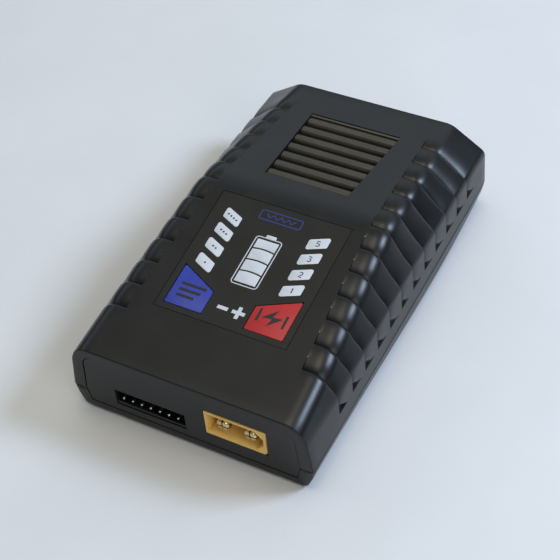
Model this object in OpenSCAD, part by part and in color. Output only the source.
// Balance battery charger: a two-shell plastic case with a roof-shaped top, scaled shoulders,
// a key label on the front slope, a vent on the back slope and two sockets in the front panel.
// Frame: X across, +Y to the back, +Z up, origin midway between the feet on the surface they stand on.
// The modules draw it with the front panel at y = 0, and in_frame() moves each piece into that frame.

/* [Case] */
// Width across the parting line
case_w = 64.7; // [64.7:0.1:64.9]
// Length from the front panel to the back face
case_l = 105.2; // [105.2:0.1:106]
// Height of the parting line between the two shells
parting_z = 7.2; // [7:0.1:7.3]
// Height of the top edge at the front
front_top_z = 22.1; // [22:0.1:22.3]
// Height at which the two top slopes would meet
ridge_z = 30.8; // [30.6:0.1:31]
// Distance of that ridge from the front
ridge_y = 57.2; // [57:0.1:57.4]
// Height of the top edge at the back
back_top_z = 24.3; // [24.2:0.1:24.6]
// Wall thickness of the shells
wall = 2; // [1.9:0.1:2.1]

/* [Scales] */
// Scales on each shoulder
scale_count = 12; // [8:1:12]
// Distance from one scale to the next
scale_pitch = 7.06; // [6.8:0.02:7.06]
// Distance of the first step from the front
scale_y0 = 14.4; // [14:0.1:15]
// Depth of a scale at its step
scale_depth = 0.9; // [0.5:0.1:1]

/* [Keys] */
// Travel of the two keys
key_travel = 0.3; // [0.2:0.05:0.3]
// Gap round each key
key_gap = 0.15; // [0.15:0.05:0.25]

/* [Sockets] */
// Contacts in the balance socket
balance_ways = 7; // [4:1:7]
// Diameter of the two bullet contacts of the power socket
bullet_d = 3.5; // [3.5]
// Diameter of the two pins of the mains inlet
mains_pin_d = 2.4; // [2.36:0.02:2.4]

/* [Hidden] */
$fn = 32;

front_rise = (ridge_z - front_top_z) / ridge_y;
back_fall = (ridge_z - back_top_z) / (case_l - ridge_y);
front_slope = atan(front_rise);
back_slope = atan(back_fall);
half_w = case_w / 2;
ridge_blend = 4;        // half length of the round between the two slopes
foot_drop = 0.5;        // how far the feet stand proud of the base
base_z = foot_drop;
floor_z = base_z + wall;
board_stand = 1.2;
board_z = floor_z + board_stand;
board_t = 1.6;
deck_z = board_z + board_t;      // top of the main board
panel_t = 2;
panel_gap = 0.12;
panel_y = 0.1;          // front face of the panel, a hair behind the shells
film_t = 0.3;
pocket_t = 0.35;
display_drop = 6.2;     // from the top face down to the display board
display_t = 1;
guide_drop = display_drop - 0.9;
key_t = 1.1;
key_reach = 3;          // from the top face down to the plunger
balance_pitch = 2.5;
balance_pin = 0.64;
balance_x = -10.82;
balance_z = 8;
power_x = 12.45;
power_z = 11.55;
power_w = 16.1;
power_h = 8.1;
bullet_pitch = 7.2;
inlet_z = 13;
inlet_pin_pitch = 8.6;
inlet_depth = 11.5;
inlet_shank_d = 2;
vent_slats = 7;
vent_y0 = 6.7;          // front and back of the vent, down the back slope from the ridge line
vent_y1 = 36.3;
vent_w0 = 11.55;        // its half width there
vent_w1 = 12.85;
switch_x = 10.6;
switch_v = 23.6;
switch_body_h = 1.9;
switch_top = -display_drop + switch_body_h;
plunger_in = 0.5;       // how far the plunger stands in the switch
power_depth = 15.4;
socket_depth = 8;
choke_r = 4.6;
screw_xy = [[25.2, 8.5], [-25.2, 8.5], [25.2, 96], [-25.2, 96]];
board_screw_xy = [[26.4, 20], [-26.4, 20], [26.4, 86], [-26.4, 86]];
foot_xy = [[21, 20], [-21, 20], [21, 84], [-21, 84]];

// ---- the outside of the case as a function of the distance from the front ----

// Height of the top face: two slopes with a round ridge between them
function top_z(y) =
    let (front = front_top_z + front_rise * y, back = ridge_z - back_fall * (y - ridge_y),
         t = (y - ridge_y + ridge_blend) / (2 * ridge_blend))
    t <= 0 ? front : t >= 1 ? back :
    front - (front_rise + back_fall) * ridge_blend * t * t;

// Half width of the flat top, narrowing to the back
function flat_x(y) = 29.3 - 0.066 * y;

// Height at which the slanted flank turns into the upright side
function flank_z(y) = 17.4 + 0.25 * (top_z(y) - front_top_z);

// Half width of the row of scales' inner end
function scale_x(y) = 23.2 - 0.0509 * (y - scale_y0);

// Points of an arc of radius r that rounds the corner b between a and c
function round_corner(a, b, c, r, n = 4) =
    let (u = (a - b) / norm(a - b), v = (c - b) / norm(c - b),
         half = acos(u * v) / 2, d = r / tan(half), m = (u + v) / norm(u + v),
         centre = b + m * r / sin(half), p = b + u * d, q = b + v * d,
         a0 = atan2(p.y - centre.y, p.x - centre.x), a1 = atan2(q.y - centre.y, q.x - centre.x),
         turn = a1 - a0 > 180 ? a1 - a0 - 360 : a1 - a0 < -180 ? a1 - a0 + 360 : a1 - a0)
    [for (i = [0:n]) centre + r * [cos(a0 + turn * i / n), sin(a0 + turn * i / n)]];

// Right half of the upper shell's cross-section, inset by t
function upper_half(y, t) =
    let (a = [0, top_z(y) - t], b = [flat_x(y) - 0.5 * t, top_z(y) - t],
         c = [half_w - 0.35 - t, flank_z(y) - 0.4 * t], d = [half_w - t, parting_z])
    concat([d], round_corner(d, c, b, 1.6, 3), round_corner(c, b, a, max(5 - t, 2), 5));

// Right half of the lower shell's cross-section, inset by t
function lower_half(t) =
    let (d = [half_w - t, parting_z], c = [half_w - 0.9 - t, 4.4], b = [29.9 - 0.6 * t, base_z + t],
         a = [0, base_z + t])
    concat([d], round_corner(d, c, b, 3, 3), round_corner(c, b, a, 1.6, 4));

function mirrored(half) = concat(half, [for (i = [len(half) - 1:-1:0]) [-half[i].x, half[i].y]]);

module slice(points, y)
    translate([0, y, 0]) rotate([90, 0, 0]) linear_extrude(0.02, center = true) polygon(points);

// Solid hull of the upper shell's outside, inset by t from y0 to y1
module upper_solid(t, y0, y1)
    hull() for (s = [[y0, 0.5], [y0 + 0.5, 0], [26, 0], [ridge_y - ridge_blend, 0], [ridge_y - 2, 0],
                     [ridge_y, 0], [ridge_y + 2, 0], [ridge_y + ridge_blend, 0], [82, 0], [y1 - 1.2, 0],
                     [y1, 1.2]])
        slice(mirrored(upper_half(s[0], t + s[1])), s[0]);

// Outside of the lower shell, inset by t from y0 to y1
module lower_solid(t, y0, y1)
    translate([0, y1, 0]) rotate([90, 0, 0]) linear_extrude(y1 - y0) polygon(mirrored(lower_half(t)));

// Children drawn on the front slope: x across, y up the slope, z = 0 on the top face
module on_front_slope() translate([0, 0, front_top_z]) rotate([front_slope, 0, 0]) children();

// Children drawn on the back slope, with y = 0 at the ridge line
module on_back_slope() translate([0, ridge_y, ridge_z]) rotate([-back_slope, 0, 0]) children();

// Puts the origin midway along the case
module in_frame() translate([0, -case_l / 2, 0]) children();

module both_sides() {
    children();
    mirror([1, 0, 0]) children();
}

// ---- outlines on the front slope ----

// Keystone outline of the right-hand key, the left one is its mirror image
module key_outline(grow = 0)
    polygon([[5.7 - grow, 19.3 - grow], [15.8 + grow, 19.3 - grow],
             [15.8 + grow, 30.8 + grow * 1.6], [5.7 - grow, 25.9 + grow * 0.6]]);

// Slanted window of the right-hand column, the left one is its mirror image
module light_outline(v)
    translate([light_x, v]) multmatrix([[1, 0, 0, 0], [0.47, 1, 0, 0], [0, 0, 1, 0], [0, 0, 0, 1]])
        square([4.6, 3.3], center = true);

light_x = 11.7;
light_rows = [32.9, 37.8, 42.7, 47.5];
cell_rows = [for (i = [0:3]) 31.9 + 3.55 * i];

module key_well(reach)
    translate([0, 0, -reach]) linear_extrude(reach + 1) key_outline(key_gap);

module column_windows(grow, depth)
    for (v = light_rows)
        translate([0, 0, -depth]) linear_extrude(depth + grow) light_outline(v);

module cell_windows(grow, depth)
    for (v = cell_rows)
        translate([-3.1, v - 1.5, -depth]) cube([6.2, 3, depth + grow]);

// ---- case ----

module scale_cut(i) {
    y = scale_y0 + i * scale_pitch;
    rise = (top_z(y + scale_pitch) - top_z(y)) / scale_pitch;
    ramp = atan(rise + scale_depth / scale_pitch);
    flank = atan2(top_z(y) - flank_z(y), half_w - 0.35 - flat_x(y));
    // ramp on the flat part of the top
    translate([scale_x(y), y, top_z(y) - scale_depth]) rotate([ramp, 0, 0])
        cube([flat_x(y) - scale_x(y) - 1.2, scale_pitch * 0.98, 3]);
    // ramp down the flank
    translate([flat_x(y) - 1.6, y, top_z(y) - scale_depth + 0.4]) rotate([0, flank * 0.86, 0])
        rotate([ramp, 0, 0]) translate([0.4, 0, -0.25])
            cube([(half_w - flat_x(y)) / cos(flank) + 0.4, scale_pitch * 0.8, 4]);
    // small three-cornered notch at the foot of the step
    translate([half_w - 0.9, y, 13]) rotate([90, 0, 90])
        linear_extrude(3) polygon([[0, 0], [2.6, 3.2], [0.4, 3.2]]);
}

module screw_posts(top, radius)
    for (p = screw_xy) translate([p.x, p.y, parting_z + 0.05]) cylinder(r = radius, h = top - parting_z);

module upper_case() color([0.075, 0.08, 0.085]) difference() {
    union() {
        difference() {
            upper_solid(0, 0, case_l);
            upper_solid(wall, 2.4, case_l - wall);
        }
        intersection() {
            screw_posts(24, 2.9);
            upper_solid(0.6, 0.6, case_l - 0.6);
        }
    }
    both_sides() for (i = [0:scale_count - 1]) scale_cut(i);
    screw_posts(18, 1.2);
    panel_window();
    vent_opening(0, 6);
    inlet_window();
    on_front_slope() {
        translate([-17.75, 17.45, -pocket_t]) cube([35.5, 36.9, 3]);
        both_sides() key_well(4);
        both_sides() column_windows(1, 6);
        cell_windows(1, 6);
    }
}

module lower_case() color([0.07, 0.075, 0.08]) difference() {
    union() {
        difference() {
            lower_solid(0, 0, case_l);
            lower_solid(wall, 2.4, case_l - wall);
            translate([-half_w + wall + 0.1, 2.4, parting_z - 1]) cube([case_w - 2 * wall - 0.2,
                case_l - wall - 2.4, 3]);
        }
        for (p = screw_xy) translate([p.x, p.y, base_z + 0.5])
            cylinder(r = 3.6, h = parting_z - base_z - 0.5);
        for (p = board_screw_xy) translate([p.x, p.y, floor_z - 0.5])
            cylinder(r = 2.4, h = board_stand + 0.5);
    }
    for (p = screw_xy) translate([p.x, p.y, -1]) {
        cylinder(r = 1.5, h = 12);
        cylinder(r = 2.6, h = 4.2);
    }
    for (p = board_screw_xy) translate([p.x, p.y, base_z + 0.8]) cylinder(r = 0.95, h = 8);
    for (p = foot_xy) translate([p.x, p.y, -1]) cylinder(r = 4.1, h = base_z + 1.8);
    panel_window();
    inlet_window();
}

// Outline of the front panel: slanted lower corners, round upper corners
module panel_outline(grow) {
    b = 3.1 - grow;
    t = 19.6 + grow;
    x0 = 27.9 + grow;
    x1 = 28.8 + grow;
    x2 = 28 + grow;
    side = [[x0, b], [x1, parting_z], [x2, 15.6]];
    corner = round_corner([x2, 15.6], [x2 - 0.4, t], [0, t], 3.2, 4);
    polygon(mirrored(concat(side, corner)));
}

module panel_window()
    translate([0, 2.6, 0]) rotate([90, 0, 0]) linear_extrude(4) panel_outline(panel_gap);

module balance_opening(grow) {
    w = balance_pitch * (balance_ways - 1) + 4.2 + grow;
    translate([balance_x - w / 2, -1, balance_z - 2.65 - grow / 2]) cube([w, 5, 5.3 + grow]);
}

module power_opening(grow)
    translate([power_x - power_w / 2 - grow, -1, power_z - power_h / 2 - grow])
        cube([power_w + 2 * grow, 5, power_h + 2 * grow]);

module front_panel() color([0.09, 0.1, 0.115]) difference() {
    union() {
        translate([0, panel_y + panel_t, 0]) rotate([90, 0, 0]) linear_extrude(panel_t) panel_outline(0);
        // flange behind the shells' front frame
        translate([-28.6, 2.62, 4.4]) cube([57.2, 1, 13.4]);
        translate([-27, 2, 4.6]) cube([54, 0.7, 13]);
    }
    balance_opening(0.1);
    power_opening(0.2);
}

// Trapezoid opening of the vent on the back slope
module vent_outline(grow) {
    w0 = vent_w0 + grow;
    w1 = vent_w1 + grow;
    polygon([[-w0, vent_y0 - grow], [w0, vent_y0 - grow], [w1, vent_y1 + grow], [-w1, vent_y1 + grow]]);
}

module vent_opening(grow, depth)
    on_back_slope() translate([0, 0, -depth]) linear_extrude(depth + 2) vent_outline(grow);

module vent_grille() color([0.36, 0.34, 0.29]) on_back_slope() {
    step = (vent_y1 - vent_y0) / vent_slats;
    difference() {
        translate([0, 0, -3.6]) linear_extrude(1.1) vent_outline(1.6);
        translate([0, 0, -4]) linear_extrude(2) vent_outline(-0.6);
    }
    for (i = [0:vent_slats - 1]) translate([0, vent_y0 + step * (i + 0.5), 0]) {
        half = vent_w0 + (vent_w1 - vent_w0) * i / vent_slats - 0.12;
        translate([-half, 0, -2.45]) rotate([0, 90, 0]) cylinder(r = 1.35, h = 2 * half);
    }
}

module inlet_window()
    translate([-12.2, case_l - 4, inlet_z - 6.2]) cube([24.4, 6, 12.4]);

// ---- label and keys ----

module label_film() color([0.14, 0.14, 0.125]) on_front_slope() difference() {
    translate([-17.6, 17.6, -pocket_t]) cube([35.2, 36.6, film_t]);
    both_sides() key_well(2);
    both_sides() column_windows(1, 2);
    cell_windows(1, 2);
}

module light_guide_block(depth) intersection() {
    translate([0, 0, -depth]) linear_extrude(depth - 0.08) children();
    translate([-20, 0, -depth]) cube([40, 60, depth]);
}

module chemistry_light_guides() color([0.85, 0.87, 0.9]) on_front_slope() mirror([1, 0, 0])
    for (v = light_rows) light_guide_block(guide_drop) light_outline(v);

module current_light_guides() color([0.85, 0.87, 0.9]) on_front_slope()
    for (v = light_rows) light_guide_block(guide_drop) light_outline(v);

module battery_light_guides() color([0.85, 0.87, 0.9]) on_front_slope()
    for (v = cell_rows) translate([-3.1, v - 1.5, -guide_drop]) cube([6.2, 3, guide_drop - 0.08]);

module key_body() {
    translate([0, 0, -pocket_t - key_t]) linear_extrude(key_t + film_t) key_outline(0);
    // stem that reaches down to the switch
    translate([switch_x, switch_v, -key_reach]) cylinder(r = 1.7, h = key_reach - pocket_t - key_t + 0.3);
}

module mode_key() color([0.16, 0.23, 0.78]) on_front_slope() mirror([1, 0, 0]) key_body();

module current_key() color([0.72, 0.12, 0.17]) on_front_slope() key_body();

module switch_plunger()
    translate([switch_x, switch_v, switch_top - plunger_in])
        cylinder(r = 1.2, h = -key_reach - switch_top + plunger_in);

module mode_switch_plunger() color([0.12, 0.12, 0.12]) on_front_slope() mirror([1, 0, 0]) switch_plunger();

module current_switch_plunger() color([0.12, 0.12, 0.12]) on_front_slope() switch_plunger();

module switch_bodies() color([0.7, 0.7, 0.68]) on_front_slope() both_sides()
    translate([switch_x, switch_v, -display_drop]) difference() {
        translate([-3, -3, 0]) cube([6, 6, switch_body_h]);
        translate([0, 0, switch_body_h - plunger_in - 2 * key_travel]) cylinder(r = 1.25, h = 4);
    }

module display_board() color([0.05, 0.22, 0.12]) on_front_slope()
    translate([-17.5, 17.8, -display_drop - display_t]) cube([35, 33.5, display_t]);

module indicator_leds() color([0.95, 0.93, 0.85]) on_front_slope() {
    led = [1.6, 0.8, 0.7];
    for (v = light_rows, s = [-1, 1])
        translate([s * light_x - led.x / 2, v - led.y / 2, -display_drop]) cube(led);
    for (v = cell_rows) translate([-led.x / 2, v - led.y / 2, -display_drop]) cube(led);
}

module ribbon_cable() color([0.75, 0.75, 0.72])
    translate([-6, 44, deck_z]) cube([12, 0.8, 14.2]);

// ---- boards and sockets ----

module main_board() color([0.04, 0.2, 0.11]) difference() {
    translate([-29, 4.2, board_z]) cube([58, 96, board_t]);
    for (p = screw_xy) translate([p.x, p.y, board_z - 1]) cylinder(r = 4, h = 4);
    for (p = board_screw_xy) translate([p.x, p.y, board_z - 1]) cylinder(r = 1.3, h = 4);
}

// Rectangle with the two corners of one end cut off, as the keyed end of the power plug
module keyed_outline(w, h, cut)
    polygon([[-w / 2, -h / 2], [w / 2 - cut, -h / 2], [w / 2, -h / 2 + cut], [w / 2, h / 2 - cut],
             [w / 2 - cut, h / 2], [-w / 2, h / 2]]);

module power_socket_housing() color([0.9, 0.68, 0.2]) difference() {
    union() {
        translate([power_x - power_w / 2, 0, power_z - power_h / 2])
            cube([power_w, power_depth, power_h]);
        for (s = [-1, 1]) translate([power_x + s * 6 - 1, 5, deck_z])
            cube([2, 9, power_z - power_h / 2 - deck_z + 0.5]);
    }
    translate([power_x, socket_depth, power_z]) rotate([90, 0, 0])
        linear_extrude(socket_depth + 1) keyed_outline(power_w - 1.8, power_h - 1.8, 2.2);
    for (s = [-1, 1]) translate([power_x + s * bullet_pitch / 2, -1, power_z]) rotate([-90, 0, 0])
        cylinder(r = 1.25, h = 20);
}

// Bullet contacts: split 3.5 mm tips on thinner shanks
module power_socket_contacts() color([0.86, 0.82, 0.66]) for (s = [-1, 1])
    translate([power_x + s * bullet_pitch / 2, 0, power_z]) rotate([-90, 0, 0]) difference() {
        union() {
            translate([0, 0, 0.5]) cylinder(r = bullet_d / 2, h = socket_depth - 0.5);
            translate([0, 0, socket_depth - 0.1]) cylinder(r = 1.25, h = 9.6);
        }
        translate([-3, -0.2, -1]) cube([6, 0.4, 5]);
        translate([-0.2, -3, -1]) cube([0.4, 6, 5]);
    }

// Left side of pin i of the balance socket
function balance_pin_x(i) = balance_x + balance_pitch * (i - (balance_ways - 1) / 2) - balance_pin / 2;

module balance_socket_housing() color([0.04, 0.04, 0.04]) {
    w = balance_pitch * (balance_ways - 1) + 4.1;
    difference() {
        union() {
            translate([balance_x - w / 2, 0.35, balance_z - 2.6]) cube([w, 9.6, 5.2]);
            translate([balance_x - w / 2, 4.4, deck_z]) cube([w, 5.5, 1]);
        }
        translate([balance_x - w / 2 + 0.8, -1, balance_z - 2]) cube([w - 1.6, 7.6, 4]);
        for (i = [0:balance_ways - 1])
            translate([balance_pin_x(i), 5, balance_z - balance_pin / 2])
                cube([balance_pin, 8, balance_pin]);
    }
}

// Pins that bend down to the board behind the housing
module balance_socket_pins() color([0.85, 0.86, 0.88]) for (i = [0:balance_ways - 1])
    translate([balance_pin_x(i), 0.9, 0]) {
        translate([0, 0, balance_z - balance_pin / 2]) cube([balance_pin, 10.4, balance_pin]);
        translate([0, 10.4 - balance_pin, deck_z]) cube([balance_pin, balance_pin, balance_z - deck_z]);
    }

module mains_inlet_housing() color([0.05, 0.05, 0.05]) difference() {
    union() {
        translate([-12, case_l - 14.6, inlet_z - 6]) cube([24, 14.4, 12]);
        translate([-9, case_l - 14.6, deck_z]) cube([18, 9.4, inlet_z - 6 - deck_z + 0.5]);
    }
    translate([0, case_l + 1, inlet_z]) rotate([90, 0, 0]) linear_extrude(inlet_depth + 1) union() {
        for (s = [-1, 1]) translate([s * inlet_pin_pitch / 2, 0]) circle(r = 4.3);
        square([inlet_pin_pitch, 8.6], center = true);
    }
    for (s = [-1, 1]) translate([s * inlet_pin_pitch / 2, case_l - 20, inlet_z]) rotate([-90, 0, 0])
        cylinder(r = inlet_shank_d / 2, h = 20);
}

// Pins with a thinner shank through the floor of the recess
module mains_inlet_pins() color([0.8, 0.8, 0.82]) for (s = [-1, 1])
    translate([s * inlet_pin_pitch / 2, case_l - inlet_depth, inlet_z]) rotate([-90, 0, 0]) {
        cylinder(r = mains_pin_d / 2, h = inlet_depth - 2);
        translate([0, 0, -6]) cylinder(r = inlet_shank_d / 2, h = 6.1);
    }

// ---- power parts on the main board ----

module fuse() color([0.82, 0.85, 0.86]) translate([-21.5, 68, deck_z + 2.6]) rotate([-90, 0, 0])
    cylinder(r = 2.6, h = 20);

module interference_capacitor() color([0.75, 0.6, 0.12]) translate([15.5, 76, deck_z]) cube([7.5, 13, 11]);

module bridge_rectifier() color([0.06, 0.06, 0.06]) translate([-16, 74, deck_z]) cube([3.6, 14, 11]);

module bulk_capacitor() color([0.1, 0.12, 0.3]) translate([-3, 76, deck_z + 7.4]) rotate([0, 90, 0])
    cylinder(r = 7.3, h = 16.5);

module transformer_core() color([0.17, 0.17, 0.18]) translate([-12, 49, deck_z]) difference() {
    cube([24, 18, 15.5]);
    translate([3, -1, 3]) cube([6, 20, 9.5]);
    translate([15, -1, 3]) cube([6, 20, 9.5]);
}

module transformer_winding() color([0.86, 0.72, 0.25]) translate([-9, 47.6, deck_z + 3.05]) {
    for (x = [0.1, 12.1]) translate([x, 0, 0]) cube([5.8, 20.8, 9.4]);
    for (y = [0, 19.5]) translate([0.1, y, 0]) cube([17.8, 1.3, 9.4]);
}

module choke_core() color([0.5, 0.48, 0.2]) translate([20, 60, deck_z + 3.1])
    rotate_extrude() translate([choke_r, 0]) square([3, 3.6], center = true);

module choke_winding() color([0.72, 0.36, 0.12]) translate([20, 60, deck_z + 3.1]) difference() {
    rotate_extrude() translate([choke_r, 0]) square([4.8, 5.4], center = true);
    rotate_extrude() translate([choke_r, 0]) square([3.06, 3.66], center = true);
    for (a = [0:60:179]) rotate([0, 0, a]) cube([20, 1.2, 8], center = true);
}

module output_capacitors() color([0.12, 0.13, 0.16]) for (y = [27, 36.5, 46])
    translate([22, y, deck_z]) cylinder(r = 4, h = 10.5);

module heatsink() color([0.66, 0.68, 0.7]) {
    translate([-26.5, 26, deck_z]) cube([1.6, 36, 12.5]);
    translate([-24.95, 26, deck_z + 11]) cube([8, 36, 1.5]);
}

module power_transistors() color([0.05, 0.05, 0.055]) for (y = [30, 43, 54])
    translate([-24.85, y, deck_z + 1]) cube([4.4, 7, 9.5]);

module control_chip() color([0.05, 0.05, 0.055]) translate([-8, 26, deck_z]) cube([7, 7, 1.2]);

module board_screws() color([0.75, 0.75, 0.78]) for (p = board_screw_xy) translate([p.x, p.y, 0]) {
    translate([0, 0, deck_z]) cylinder(r = 2, h = 1.4);
    translate([0, 0, base_z + 1]) cylinder(r = 0.95, h = deck_z - base_z - 0.9);
}

module case_screws() color([0.3, 0.3, 0.32]) for (p = screw_xy) translate([p.x, p.y, 0]) {
    translate([0, 0, 1.7]) cylinder(r = 2.3, h = 1.5);
    translate([0, 0, 3.1]) cylinder(r = 1.2, h = 11);
}

module rubber_feet() color([0.08, 0.08, 0.08]) for (p = foot_xy)
    translate([p.x, p.y, 0]) cylinder(r = 4, h = base_z + 0.8);

in_frame() upper_case();
in_frame() lower_case();
in_frame() front_panel();
in_frame() vent_grille();
in_frame() label_film();
in_frame() chemistry_light_guides();
in_frame() current_light_guides();
in_frame() battery_light_guides();
in_frame() mode_key();
in_frame() current_key();
in_frame() mode_switch_plunger();
in_frame() current_switch_plunger();
in_frame() switch_bodies();
in_frame() display_board();
in_frame() indicator_leds();
in_frame() ribbon_cable();
in_frame() main_board();
in_frame() power_socket_housing();
in_frame() power_socket_contacts();
in_frame() balance_socket_housing();
in_frame() balance_socket_pins();
in_frame() mains_inlet_housing();
in_frame() mains_inlet_pins();
in_frame() fuse();
in_frame() interference_capacitor();
in_frame() bridge_rectifier();
in_frame() bulk_capacitor();
in_frame() transformer_core();
in_frame() transformer_winding();
in_frame() choke_core();
in_frame() choke_winding();
in_frame() output_capacitors();
in_frame() heatsink();
in_frame() power_transistors();
in_frame() control_chip();
in_frame() board_screws();
in_frame() case_screws();
in_frame() rubber_feet();
